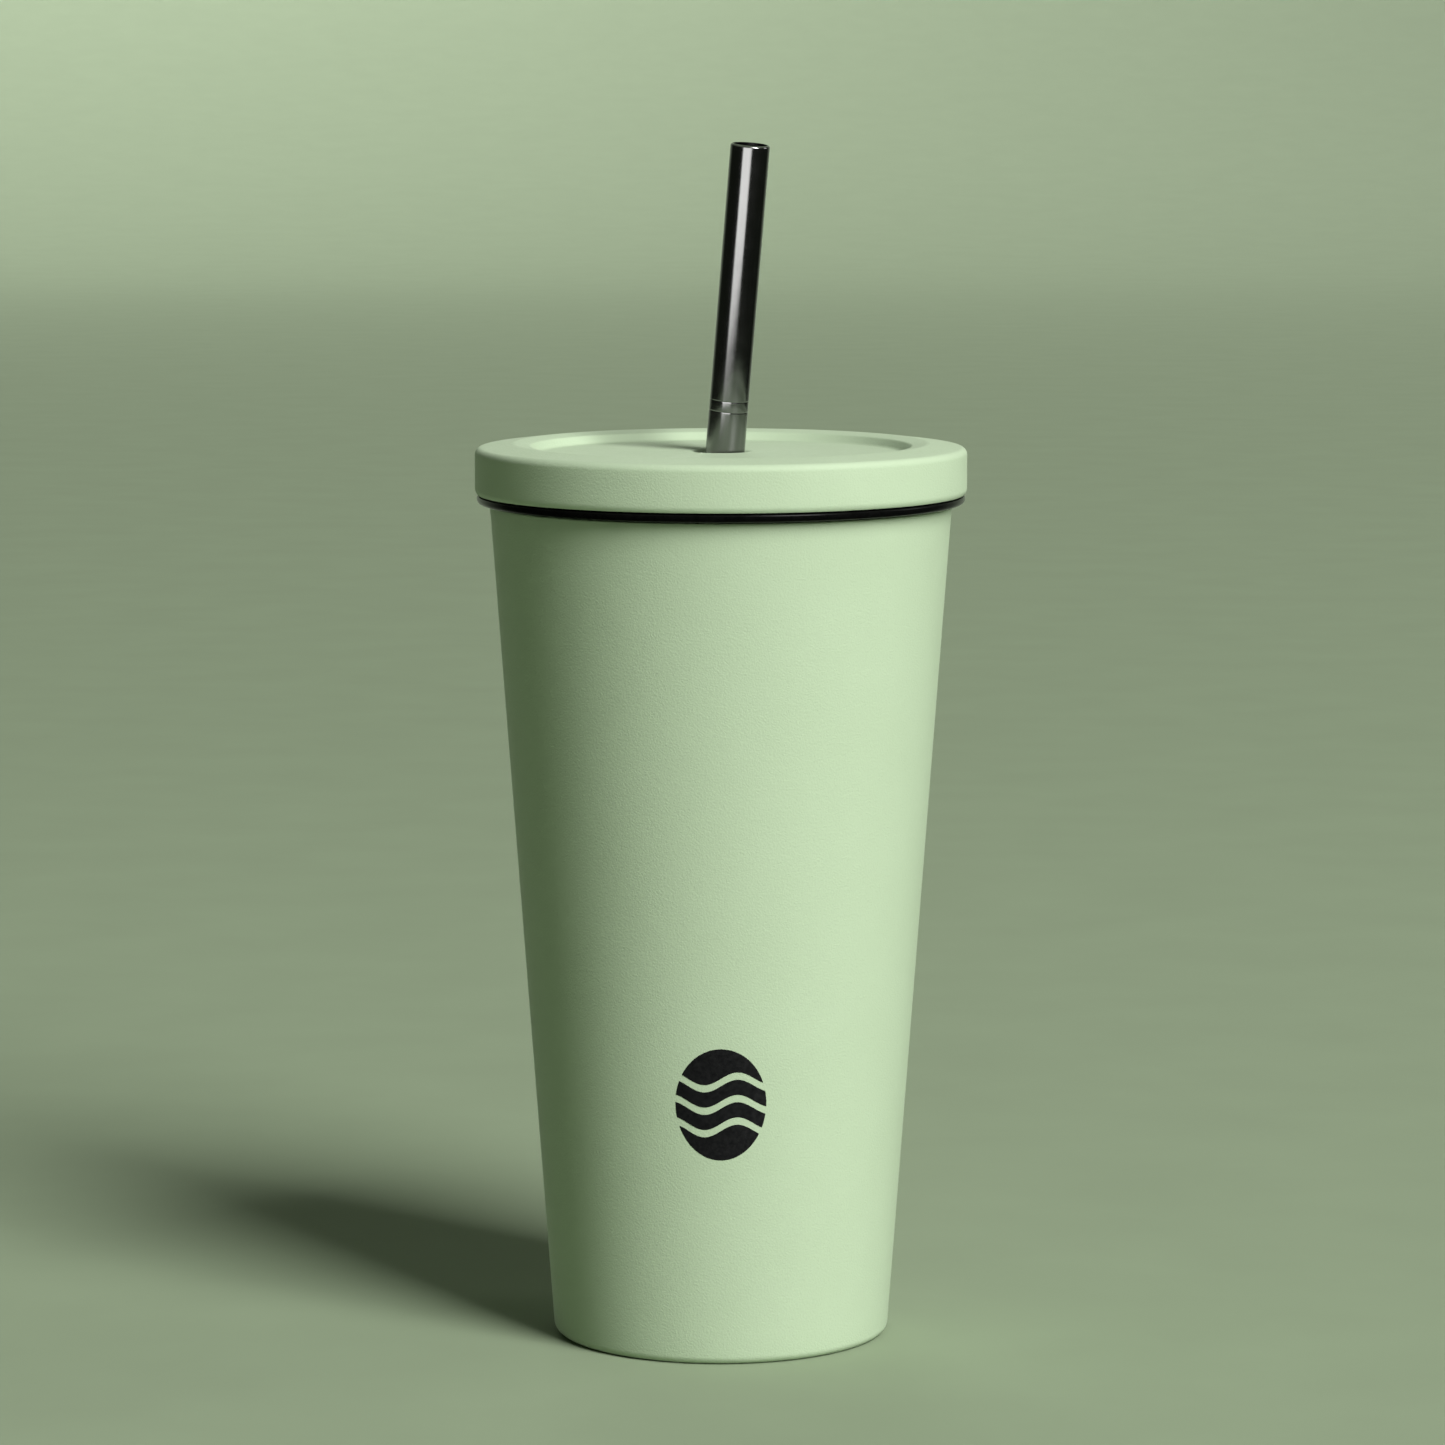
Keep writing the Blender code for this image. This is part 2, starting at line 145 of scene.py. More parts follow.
def straw_centre(height):
    return STRAW_AT_FLOOR + STRAW_LEAN * (height - LID_FLOOR)


# ---------------------------------------------------------------- mesh tools

def arc(centre, radius, start, end, steps):
    """Points on an arc between two angles in degrees, both ends included."""
    points = []
    for step in range(steps + 1):
        angle = math.radians(start + (end - start) * step / steps)
        points.append((centre[0] + radius * math.cos(angle), centre[1] + radius * math.sin(angle)))
    return points


def line(start, end, steps):
    """Points after start, up to end, evenly spaced."""
    return [tuple(a + (b - a) * step / steps for a, b in zip(start, end)) for step in range(1, steps + 1)]


def around(points, centre):
    """The same outline points, to be turned about a centre of their own."""
    return [(radius, height, centre) for radius, height in points]


def circle(mesh, point, segments):
    """The ring of vertices of one outline point, or one vertex where the radius is 0."""
    radius, height = point[0], point[1]
    centre = point[2] if len(point) == 3 else (0.0, 0.0)
    if radius == 0:
        return [mesh.verts.new((centre[0], centre[1], height))]
    ring = []
    for step in range(segments):
        angle = 2 * math.pi * step / segments
        x = centre[0] + radius * math.cos(angle)
        y = centre[1] + radius * math.sin(angle)
        ring.append(mesh.verts.new((x, y, height)))
    return ring


def skin(mesh, first, second):
    """Faces between two neighbouring rings."""
    count = max(len(first), len(second))
    if count == 1:
        return
    for step in range(count):
        following = (step + 1) % count
        corners = [first[step % len(first)], first[following % len(first)]]
        corners += [second[following % len(second)], second[step % len(second)]]
        mesh.faces.new(list(dict.fromkeys(corners)))


def piece_from(mesh, name, material):
    """A smooth-shaded object from a finished mesh, sharp at its hard edges."""
    data = bpy.data.meshes.new(name)
    mesh.to_mesh(data)
    mesh.free()
    data.shade_smooth()
    data.set_sharp_from_angle(angle=math.radians(SHARP_ANGLE))
    data.materials.append(material)
    body = bpy.data.objects.new(name, data)
    bpy.context.collection.objects.link(body)
    return body


def turned(name, outline, material, segments=FINE):
    """A closed body from a closed outline of (radius, height) points, turned about Z."""
    mesh = bmesh.new()
    rings = [circle(mesh, point, segments) for point in outline]
    for first, second in zip(rings, rings[1:] + rings[:1]):
        skin(mesh, first, second)
    bmesh.ops.recalc_face_normals(mesh, faces=mesh.faces)
    return piece_from(mesh, name, material)


# ---------------------------------------------------------------- node tools

class Finish:
    """A Principled material with a few shorthands for its nodes."""

    def __init__(self, name, colour, roughness, metallic=0.0, **sockets):
        self.material = bpy.data.materials.new(name)
        self.material.use_nodes = True
        self.tree = self.material.node_tree
        self.shader = self.tree.nodes["Principled BSDF"]
        self.shader.inputs["Base Color"].default_value = (*colour, 1.0)
        self.shader.inputs["Roughness"].default_value = roughness
        self.shader.inputs["Metallic"].default_value = metallic
        for socket, value in sockets.items():
            self.shader.inputs[socket.replace("_", " ")].default_value = value
        self.coordinates = self.add("ShaderNodeTexCoord").outputs["Object"]

    def add(self, kind, **settings):
        node = self.tree.nodes.new(kind)
        for key, value in settings.items():
            setattr(node, key, value)
        return node

    def link(self, source, target):
        self.tree.links.new(source, target)

    def noise(self, scale, detail=2.0, roughness=0.5, stretch=None, vector=None):
        node = self.add("ShaderNodeTexNoise")
        node.inputs["Scale"].default_value = scale
        node.inputs["Detail"].default_value = detail
        node.inputs["Roughness"].default_value = roughness
        source = vector or self.coordinates
        if stretch:
            source = self.stretched(source, stretch)
        self.link(source, node.inputs["Vector"])
        return node.outputs["Fac"]

    def cells(self, scale, feature="SMOOTH_F1"):
        node = self.add("ShaderNodeTexVoronoi", feature=feature)
        node.inputs["Scale"].default_value = scale
        self.link(self.coordinates, node.inputs["Vector"])
        return node.outputs["Distance"]

    def stretched(self, source, scale):
        node = self.add("ShaderNodeMapping")
        node.inputs["Scale"].default_value = scale
        self.link(source, node.inputs["Vector"])
        return node.outputs["Vector"]

    def upright(self, turn):
        """Coordinates turned so that a leaning axis runs along Z."""
        node = self.add("ShaderNodeMapping")
        node.inputs["Rotation"].default_value = turn.inverted().to_euler()
        self.link(self.coordinates, node.inputs["Vector"])
        return node.outputs["Vector"]

    def math(self, operation, first, second):
        node = self.add("ShaderNodeMath", operation=operation)
        for socket, value in zip(node.inputs, (first, second)):
            if isinstance(value, (int, float)):
                socket.default_value = value
            else:
                self.link(value, socket)
        return node.outputs["Value"]

    def span(self, source, low, high, start=0.0, end=1.0):
        """The source carried over from the range low to high, to the range start to end."""
        node = self.add("ShaderNodeMapRange")
        self.link(source, node.inputs["Value"])
        for socket, value in zip(("From Min", "From Max", "To Min", "To Max"), (low, high, start, end)):
            node.inputs[socket].default_value = value
        return node.outputs["Result"]

    def blend(self, factor, first, second):
        node = self.add("ShaderNodeMix", data_type="RGBA")
        self.link(factor, node.inputs["Factor"])
        for socket, value in (("A", first), ("B", second)):
            target = next(i for i in node.inputs if i.name == socket and i.type == "RGBA")
            if isinstance(value, tuple):
                target.default_value = (*value, 1.0)
            else:
                self.link(value, target)
        return next(o for o in node.outputs if o.type == "RGBA")

    def bump(self, height, distance, strength=1.0, after=None):
        node = self.add("ShaderNodeBump")
        node.inputs["Strength"].default_value = strength
        node.inputs["Distance"].default_value = distance
        self.link(height, node.inputs["Height"])
        if after is not None:
            self.link(after, node.inputs["Normal"])
        return node.outputs["Normal"]

    def colour(self, source):
        self.link(source, self.shader.inputs["Base Color"])

    def rough(self, source):
        self.link(source, self.shader.inputs["Roughness"])

    def normal(self, source):
        self.link(source, self.shader.inputs["Normal"])


# ---------------------------------------------------------------- materials

GREEN = (0.492, 0.605, 0.430)
GREEN_DEEP = (0.476, 0.587, 0.413)
LINER_STEEL = (0.68, 0.68, 0.66)
BASE_STEEL = (0.56, 0.56, 0.54)
PAN_STEEL = (0.50, 0.50, 0.48)
TRAY_STEEL = (0.45, 0.45, 0.43)
FOIL_DARK = (0.74, 0.74, 0.74)
FOIL_LIGHT = (0.84, 0.84, 0.84)
STRAW_DARK = (0.18, 0.18, 0.18)
STRAW_LIGHT = (0.22, 0.22, 0.22)
INK_DARK = (0.005, 0.005, 0.006)
INK_LIGHT = (0.009, 0.009, 0.010)
PLUG_BLACK = (0.002, 0.002, 0.002)
SEAL_BLACK = (0.012, 0.012, 0.012)
GETTER_GREY = (0.22, 0.21, 0.20)
SOLDER_GLASS = (0.30, 0.28, 0.22)


def powder_coat(name):
    """Matte powder coat: orange peel, fine grain, faint mottling."""
    coat = Finish(name, GREEN, roughness=0.58, Specular_IOR_Level=0.16)
    mottle = coat.noise(60.0, detail=4.0, roughness=0.6)
    grain = coat.noise(2600.0, detail=3.0, roughness=0.6)
    mixed = coat.math("ADD", coat.math("MULTIPLY", mottle, 0.6), coat.math("MULTIPLY", grain, 0.4))
    coat.colour(coat.blend(coat.span(mixed, 0.35, 0.65), GREEN_DEEP, GREEN))
    coat.rough(coat.span(coat.noise(900.0), 0.3, 0.7, 0.50, 0.62))
    peel = coat.bump(coat.noise(2500.0, detail=2.5, roughness=0.55), 0.070 * MM, strength=0.9)
    coat.normal(coat.bump(coat.cells(3000.0), 0.03 * MM, strength=0.6, after=peel))
    return coat.material


def brushed_steel(name, colour, roughness, along):
    """Steel with fine brushing. along scales the object's coordinates: small where a line runs on."""
    steel = Finish(name, colour, roughness, metallic=1.0)
    lines = steel.noise(420.0, detail=4.0, roughness=0.7, stretch=along)
    haze = steel.noise(90.0, detail=3.0, roughness=0.6)
    dark = tuple(0.86 * c for c in colour)
    steel.colour(steel.blend(steel.span(lines, 0.3, 0.7), dark, colour))
    total = steel.math("ADD", steel.math("MULTIPLY", lines, 0.8), steel.math("MULTIPLY", haze, 0.2))
    steel.rough(steel.span(total, 0.35, 0.65, roughness - 0.04, roughness + 0.06))
    steel.normal(steel.bump(lines, 0.006 * MM, strength=0.5))
    return steel.material


def black_plastic(name, colour, roughness, grain_scale, shine=0.5):
    """Black plastic or rubber with a fine moulded grain."""
    plastic = Finish(name, colour, roughness, Specular_IOR_Level=shine)
    grain = plastic.noise(grain_scale, detail=3.0, roughness=0.6)
    light = tuple(1.5 * c + 0.001 for c in colour)
    plastic.colour(plastic.blend(plastic.span(grain, 0.35, 0.65), colour, light))
    plastic.rough(plastic.span(plastic.noise(240.0), 0.3, 0.7, roughness - 0.05, roughness + 0.06))
    plastic.normal(plastic.bump(grain, 0.02 * MM, strength=0.5))
    return plastic.material


def straw_metal(name):
    """Dark vapour-coated steel, drawn along the tube."""
    metal = Finish(name, STRAW_LIGHT, roughness=0.2, metallic=1.0)
    lengthwise = metal.stretched(metal.upright(STRAW_TURN), (1.0, 1.0, 0.03))
    streaks = metal.noise(600.0, detail=3.0, roughness=0.6, vector=lengthwise)
    metal.colour(metal.blend(metal.span(streaks, 0.3, 0.7), STRAW_DARK, STRAW_LIGHT))
    wear = metal.noise(300.0, detail=3.0, roughness=0.6)
    metal.rough(metal.span(wear, 0.3, 0.7, 0.15, 0.20))
    metal.normal(metal.bump(streaks, 0.006 * MM, strength=0.5))
    return metal.material


def print_ink(name):
    """Satin black ink with a faint peel."""
    ink = Finish(name, INK_LIGHT, roughness=0.38)
    peel = ink.noise(1150.0, detail=2.5, roughness=0.55)
    ink.colour(ink.blend(ink.span(peel, 0.3, 0.7), INK_DARK, INK_LIGHT))
    ink.rough(ink.span(peel, 0.3, 0.7, 0.34, 0.46))
    ink.normal(ink.bump(peel, 0.04 * MM, strength=0.8))
    return ink.material


def crinkled_foil(name):
    """Bright foil with sharp creases."""
    foil = Finish(name, FOIL_LIGHT, roughness=0.22, metallic=1.0)
    creases = foil.cells(160.0, feature="F1")
    fine = foil.noise(500.0, detail=3.0)
    foil.rough(foil.span(fine, 0.3, 0.7, 0.16, 0.30))
    foil.colour(foil.blend(foil.span(fine, 0.3, 0.7), FOIL_DARK, FOIL_LIGHT))
    foil.normal(foil.bump(creases, 0.25 * MM, strength=0.6))
    return foil.material


def plain_grain(name, colour, roughness, metallic, scale, depth):
    """A plain finish, uneven in colour, roughness and height by one noise."""
    grainy = Finish(name, colour, roughness, metallic)
    grain = grainy.noise(scale, detail=4.0, roughness=0.65)
    dark = tuple(0.8 * c for c in colour)
    grainy.colour(grainy.blend(grainy.span(grain, 0.3, 0.7), dark, colour))
    grainy.rough(grainy.span(grain, 0.3, 0.7, roughness - 0.06, roughness + 0.06))
    grainy.normal(grainy.bump(grain, depth, strength=0.6))
    return grainy.material


# ---------------------------------------------------------------- cup

def build_shell(coat):
    """The tapered outer shell, from its rim down the outside, round the foot and up the inside."""
    fillet = (cone_radius(FOOT_FILLET) - FOOT_FILLET / CONE_COS, FOOT_FILLET)
    rim_radius = cone_radius(RIM_HEIGHT - RIM_ROUND) - RIM_ROUND
    flange_end = FOOT_FLANGE_RADIUS + FOOT_FLANGE_ROUND
    outline = arc((rim_radius, RIM_HEIGHT - RIM_ROUND), RIM_ROUND, 90, -CONE_ANGLE, 5)
    outline += line(outline[-1], (cone_radius(FOOT_FILLET), FOOT_FILLET), 40)[:-1]
    outline += arc(fillet, FOOT_FILLET, -CONE_ANGLE, -90, 12)
    outline += line(outline[-1], (flange_end, 0.0), 3)
    outline += arc((flange_end, FOOT_FLANGE_ROUND), FOOT_FLANGE_ROUND, -90, -180, 3)[1:]
    outline += [(FOOT_FLANGE_RADIUS, SHEET)]
    outline += arc(fillet, FOOT_FILLET - SHEET, -90, -CONE_ANGLE, 6)
    outline += [(cone_radius(RIM_HEIGHT) - SHEET, RIM_HEIGHT)]
    shell = turned("cup_shell", outline, coat)
    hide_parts("outer_shell")
    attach(shell, "cup")


def build_liner(steel):
    """The inner cup, from its floor up the inside, over the lip and down the outside."""
    corner_height = LINER_FLOOR + LINER_CORNER
    corner = (cone_radius(corner_height) - WALL_DEPTH - LINER_CORNER / CONE_COS, corner_height)
    lip_height = RIM_HEIGHT - LIP_ROUND
    lip = (cone_radius(lip_height) - WALL_DEPTH + LIP_ROUND, lip_height)
    lip_edge = cone_radius(RIM_HEIGHT) - SHEET - FIT_GAP
    inside = [(0.0, LINER_FLOOR)]
    inside += line((0.0, LINER_FLOOR), (corner[0], LINER_FLOOR), 6)[:-1]
    inside += arc(corner, LINER_CORNER, -90, -CONE_ANGLE, 12)
    inside += line(inside[-1], (lip[0] - LIP_ROUND, lip_height), 24)[:-1]
    inside += arc(lip, LIP_ROUND, 180, 90, 8)
    edge = [(lip_edge, RIM_HEIGHT), (lip_edge, RIM_HEIGHT - LINER_SHEET)]
    outside = arc(lip, LIP_ROUND - LINER_SHEET, 90, 180, 5)
    outside += arc(corner, LINER_CORNER + LINER_SHEET, -CONE_ANGLE, -90, 8)
    outside += [(0.0, LINER_FLOOR - LINER_SHEET)]
    cup = turned("cup_liner", inside + edge + outside, steel)
    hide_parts("liner")
    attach(cup, "cup")


def build_base_cover(steel):
    """The stamped disc in the foot, from the middle of its upper side round to that of its underside."""
    bottom = COVER_LOW.z
    top = COVER_HIGH.z
    radius = COVER_HIGH.x
    inside = radius - SHEET
    outline = [(0.0, bottom + STAMP_RISE + SHEET), (STAMP_RADIUS, bottom + STAMP_RISE + SHEET)]
    outline += [(STAMP_EDGE_ABOVE, bottom + SHEET), (inside, bottom + SHEET), (inside, top), (radius, top)]
    outline += arc((radius - COVER_ROUND, bottom + COVER_ROUND), COVER_ROUND, 0, -90, 5)
    outline += arc((STAMP_EDGE_BELOW, bottom + STAMP_RISE), STAMP_RISE, -90, -135, 3)
    outline += arc((STAMP_RADIUS, bottom), STAMP_RISE, 45, 90, 3)
    outline += [(0.0, bottom + STAMP_RISE)]
    disc = turned("base_disc", outline, steel)
    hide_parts("base_cover")
    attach(disc, "cup")


# ---------------------------------------------------------------- emblem

EMBLEM_HEIGHT = 53.7 * MM
EMBLEM_HALF_WIDTH = 9.1 * MM
EMBLEM_HALF_HEIGHT = 11.4 * MM
EMBLEM_LIFTS = (0.04 * MM, -0.1 * MM)
EMBLEM_THINNEST = 0.02 * MM
EMBLEM_COLUMNS = 120
EMBLEM_ROWS = 6
WAVE_GAP = 1.5 * MM
WAVE_SWING = 1.3 * MM
WAVE_LENGTH = EMBLEM_HALF_WIDTH * 1.45
WAVE_LEVELS = (-4.6 * MM, 0.0, 4.6 * MM)


def on_cone(across, up, lift):
    """A point on the cup's front, from distances across the front and up the wall."""
    height = EMBLEM_HEIGHT + up * CONE_COS
    radius = cone_radius(height) + lift
    angle = across / cone_radius(EMBLEM_HEIGHT) - math.pi / 2
    return (radius * math.cos(angle), radius * math.sin(angle), height)


def wave(across, level):
    return level + WAVE_SWING * math.sin(2 * math.pi * across / WAVE_LENGTH)


def oval(across):
    """Half the oval's height at a distance across."""
    share = max(0.0, 1.0 - (across / EMBLEM_HALF_WIDTH) ** 2)
    return EMBLEM_HALF_HEIGHT * math.sqrt(share)


def grid_edge(grid):
    """The points once round the edge of a grid of columns."""
    bottom = [column[0] for column in grid]
    top = [column[-1] for column in grid]
    return bottom + grid[-1][1:] + top[-2::-1] + grid[0][-2:0:-1]


def emblem_band(mesh, lower, upper):
    """One closed thin band of ink between two curves. Its back lies just under the coat."""
    columns = []
    for step in range(EMBLEM_COLUMNS + 1):
        turn = math.pi * step / EMBLEM_COLUMNS
        across = -EMBLEM_HALF_WIDTH * math.cos(turn)
        low, high = lower(across), upper(across)
        if high - low > EMBLEM_THINNEST:
            columns.append((across, low, high))
    sides = []
    for lift in EMBLEM_LIFTS:
        grid = []
        for across, low, high in columns:
            ups = [low + (high - low) * row / EMBLEM_ROWS for row in range(EMBLEM_ROWS + 1)]
            grid.append([mesh.verts.new(on_cone(across, up, lift)) for up in ups])
        for left, right in zip(grid, grid[1:]):
            for row in range(EMBLEM_ROWS):
                mesh.faces.new((left[row], right[row], right[row + 1], left[row + 1]))
        sides.append(grid)
    front, back = (grid_edge(grid) for grid in sides)
    for step in range(len(front)):
        following = (step + 1) % len(front)
        mesh.faces.new((front[step], back[step], back[following], front[following]))


def build_emblem(ink):
    """A generic printed sign: an upright oval with three wavy lines left open."""
    mesh = bmesh.new()
    half_gap = WAVE_GAP / 2
    bounds_below = [lambda across: -oval(across)]
    bounds_above = []
    for level in WAVE_LEVELS:
        bounds_above.append(lambda across, level=level: min(oval(across), wave(across, level) - half_gap))
        bounds_below.append(lambda across, level=level: max(-oval(across), wave(across, level) + half_gap))
    bounds_above.append(oval)
    for lower, upper in zip(bounds_below, bounds_above):
        emblem_band(mesh, lower, upper)
    bmesh.ops.recalc_face_normals(mesh, faces=mesh.faces)
    emblem = piece_from(mesh, "front_sign", ink)
    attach(emblem, "cup")


# ---------------------------------------------------------------- lid

def polar(centre, radius, angle):
    """The point at a radius and an angle in degrees from a centre."""
    turn = math.radians(angle)
    return (centre[0] + radius * math.cos(turn), centre[1] + radius * math.sin(turn))


def lid_surface(depth):
    """One side of the lid's sheet, from the skirt to the straw hole, at a depth below the outside."""
    shoulder = 90 - SHOULDER_ANGLE
    slope = 90 + SLOPE_ANGLE
    wall = 90 + WALL_ANGLE
    crest = (CREST_RADIUS, CREST_HEIGHT - CREST_ROUND)

    # The shoulder is tangent to the fillet and to the crest
    crest_start = polar(crest, CREST_ROUND, shoulder)
    fillet_radius = LID_RADIUS - LID_FILLET
    fillet_end = polar((fillet_radius, 0.0), LID_FILLET, shoulder)
    drop = (fillet_end[0] - crest_start[0]) * math.tan(math.radians(SHOULDER_ANGLE))
    fillet = (fillet_radius, crest_start[1] - drop - fillet_end[1])

    # The inner slope is tangent to the crest and to the ledge
    crest_end = polar(crest, CREST_ROUND, slope)
    ledge_height = crest_end[1] - (crest_end[0] - LEDGE_RADIUS) * math.tan(math.radians(SLOPE_ANGLE))
    ledge = polar((LEDGE_RADIUS, ledge_height), -LEDGE_ROUND, slope)

    # The wall is tangent to the ledge and to the hollow round at the floor
    ledge_end = polar(ledge, LEDGE_ROUND, wall)
    floor_turn = polar((0.0, 0.0), FLOOR_ROUND, WALL_ANGLE - 90)
    wall_foot = LID_FLOOR + FLOOR_ROUND + floor_turn[1]
    run = (ledge_end[1] - wall_foot) / math.tan(math.radians(WALL_ANGLE))
    floor = (ledge_end[0] - run - floor_turn[0], LID_FLOOR + FLOOR_ROUND)

    hole = (HOLE_RADIUS + HOLE_ROUND, LID_FLOOR - HOLE_ROUND)
    rounded = arc(hole, HOLE_ROUND - depth, 90, 180, 9)
    hole_level = rounded[0][1]
    points = arc(fillet, LID_FILLET - depth, 0, shoulder, 12)
    points += line(points[-1], polar(crest, CREST_ROUND - depth, shoulder), 4)[:-1]
    points += arc(crest, CREST_ROUND - depth, shoulder, slope, 8)
    points += arc(ledge, LEDGE_ROUND - depth, slope, wall, 8)
    points += arc(floor, FLOOR_ROUND + depth, WALL_ANGLE - 90, -90, 8)

    # The floor's last circles and the hole share the hole's own centre
    points += around([(HOLE_RADIUS + margin, hole_level) for margin in HOLE_MARGINS], HOLE_CENTRE)
    points += around(rounded, HOLE_CENTRE)
    points += around([(HOLE_RADIUS + depth, LID_FLOOR - HOLE_ROUND - HOLE_COLLAR)], HOLE_CENTRE)
    return points


def lid_hem(depth):
    """The hem's curl on one side of the sheet, from its edge up to the skirt."""
    curl = (LID_RADIUS - HEM_ROUND, LID_BOTTOM + HEM_ROUND * math.sin(math.radians(HEM_TURN)))
    return arc(curl, HEM_ROUND - depth, -HEM_TURN, 0, 8)


def lid_side(depth):
    """One side of the lid's sheet, from the hem's edge to the straw hole."""
    curl = lid_hem(depth)
    surface = lid_surface(depth)
    return curl + line(curl[-1], surface[0], 4)[:-1] + surface


def build_lid_cover(coat):
    cover = turned("lid_shell", lid_side(0.0) + lid_side(SHEET)[::-1], coat)
    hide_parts("lid_cover")
    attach(cover, "lid")


def build_plug(plastic):
    """The plug, from its straw hole out over the plate, down the flange and skirt, and back inside."""
    hole_at = straw_centre((PLATE_TOP + PLATE_BOTTOM) / 2)
    hole = (hole_at.x, hole_at.y)
    wall_inside = PLUG_WALL_RADIUS - PLUG_WALL
    skirt_inside = SKIRT_RADIUS - PLUG_WALL
    groove = SKIRT_RADIUS - GROOVE_DEPTH
    outline = around([(PLUG_HOLE_RADIUS, PLATE_BOTTOM), (PLUG_HOLE_RADIUS, PLATE_TOP)], hole)
    outline += [(wall_inside, PLATE_TOP), (wall_inside, PLUG_HIGH.z)]
    outline += [(PLUG_WALL_RADIUS, PLUG_HIGH.z), (PLUG_WALL_RADIUS, FLANGE_TOP)]
    outline += arc((FLANGE_RADIUS - FLANGE_ROUND, FLANGE_TOP - FLANGE_ROUND), FLANGE_ROUND, 90, 0, 6)
    under = (FLANGE_RADIUS - FLANGE_UNDER_ROUND, FLANGE_BOTTOM + FLANGE_UNDER_ROUND)
    outline += arc(under, FLANGE_UNDER_ROUND, 0, -90, 8)
    outline += [(SKIRT_RADIUS, FLANGE_BOTTOM), (SKIRT_RADIUS, GROOVE_TOP), (groove, GROOVE_TOP)]
    outline += [(groove, GROOVE_BOTTOM), (SKIRT_RADIUS, GROOVE_BOTTOM)]
    outline += arc((SKIRT_RADIUS - SKIRT_ROUND, PLUG_LOW.z + SKIRT_ROUND), SKIRT_ROUND, 0, -90, 4)
    outline += [(skirt_inside, PLUG_LOW.z)]
    outline += arc((skirt_inside - PLATE_ROUND, PLATE_BOTTOM - PLATE_ROUND), PLATE_ROUND, 0, 90, 8)
    plug = turned("plug_moulding", outline, plastic)
    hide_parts("lid_plug")
    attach(plug, "lid")


# ---------------------------------------------------------------- straw

def build_straw(metal):
    """The straw, turned upright from its foot to its tip, then leaned and set in its place."""
    bore = STRAW_RADIUS - STRAW_SHEET
    half = STRAW_SHEET / 2
    outline = arc((STRAW_RADIUS - half, half), half, 180, 360, 12)
    for groove in STRAW_GROOVES:
        for step in range(-STRAW_GROOVE_STEPS, STRAW_GROOVE_STEPS + 1):
            share = step / STRAW_GROOVE_STEPS
            dent = STRAW_GROOVE_DEPTH * (0.5 + 0.5 * math.cos(math.pi * share))
            outline.append((STRAW_RADIUS - dent, groove + share * STRAW_GROOVE_HALF))
    outline += arc((bore, STRAW_LENGTH - STRAW_SHEET), STRAW_SHEET, 0, 90, 8)
    straw = turned("straw_fine", outline, metal, SLIM)
    leaning = STRAW_TURN.to_matrix().to_4x4()
    straw.data.transform(Matrix.Translation(straw_centre(STRAW_FOOT_HEIGHT)) @ leaning)
    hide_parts("straw_tube")
    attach(straw, "straw")
    return straw


# ---------------------------------------------------------------- stage

FLOOR_COLOUR = (0.278, 0.342, 0.230)
FLOOR_RADIUS = 5.0
FLOOR_DROP = 0.05 * MM
COVE_ROUND = 5.0
COVE_TOP = (10.0, 12.0)
GLOW_COLOUR = (0.84, 1.0, 0.72, 1.0)
GLOW_START = 1.0
GLOW_END = 6.0
WALL_GLOW = 0.10
ROOM_GLOW = 0.05

LIGHT_TINT = (1.0, 1.0, 0.98)
LIGHT_AIM = Vector((0.0, 0.0, 0.10))

CAMERA_LENS = 138.81
CAMERA_FILM = 36.0
CAMERA_PLACE = (0.00032, -1.12573, 0.26389)
CAMERA_DIP = 7.011
CAMERA_REACH = 50.0


def soft_light(name, azimuth, elevation, distance, size, power):
    """A soft box that faces the mug. Azimuth runs from the front (-Y) towards +X, in degrees."""
    turn, rise = math.radians(azimuth), math.radians(elevation)
    away = Vector((math.sin(turn) * math.cos(rise), -math.cos(turn) * math.cos(rise), math.sin(rise)))
    data = bpy.data.lights.new(name, "AREA")
    data.shape = "RECTANGLE"
    data.size, data.size_y = size
    data.energy = power
    data.color = LIGHT_TINT
    lamp = bpy.data.objects.new(name, data)
    bpy.context.collection.objects.link(lamp)
    lamp.location = LIGHT_AIM + away * distance
    lamp.rotation_euler = away.to_track_quat("Z", "Y").to_euler()
    lamp.visible_camera = False
    return lamp


def stage_piece(name, outline, finish):
    """An open turned surface, just under the mug's foot and unseen by reflections."""
    mesh = bmesh.new()
    rings = [circle(mesh, point, COARSE) for point in outline]
    for first, second in zip(rings, rings[1:]):
        skin(mesh, first, second)
    piece = piece_from(mesh, name, finish.material)
    piece.location.z = -FLOOR_DROP
    piece.visible_glossy = False
    return piece


def stage_finish(name):
    """Pale floor and wall finish. Far from the mug it glows faintly, so that the wall isn't darker."""
    finish = Finish(name, FLOOR_COLOUR, roughness=0.8, Specular_IOR_Level=0.0, Emission_Color=GLOW_COLOUR)
    light = tuple(1.04 * c for c in FLOOR_COLOUR)
    finish.colour(finish.blend(finish.span(finish.noise(25.0, detail=4.0), 0.3, 0.7), FLOOR_COLOUR, light))
    flat = finish.stretched(finish.coordinates, (1.0, 1.0, 0.0))
    reach = finish.add("ShaderNodeVectorMath", operation="LENGTH")
    finish.link(flat, reach.inputs[0])
    glow = finish.span(reach.outputs["Value"], GLOW_START, GLOW_END, 0.0, WALL_GLOW)
    finish.link(glow, finish.shader.inputs["Emission Strength"])
    return finish


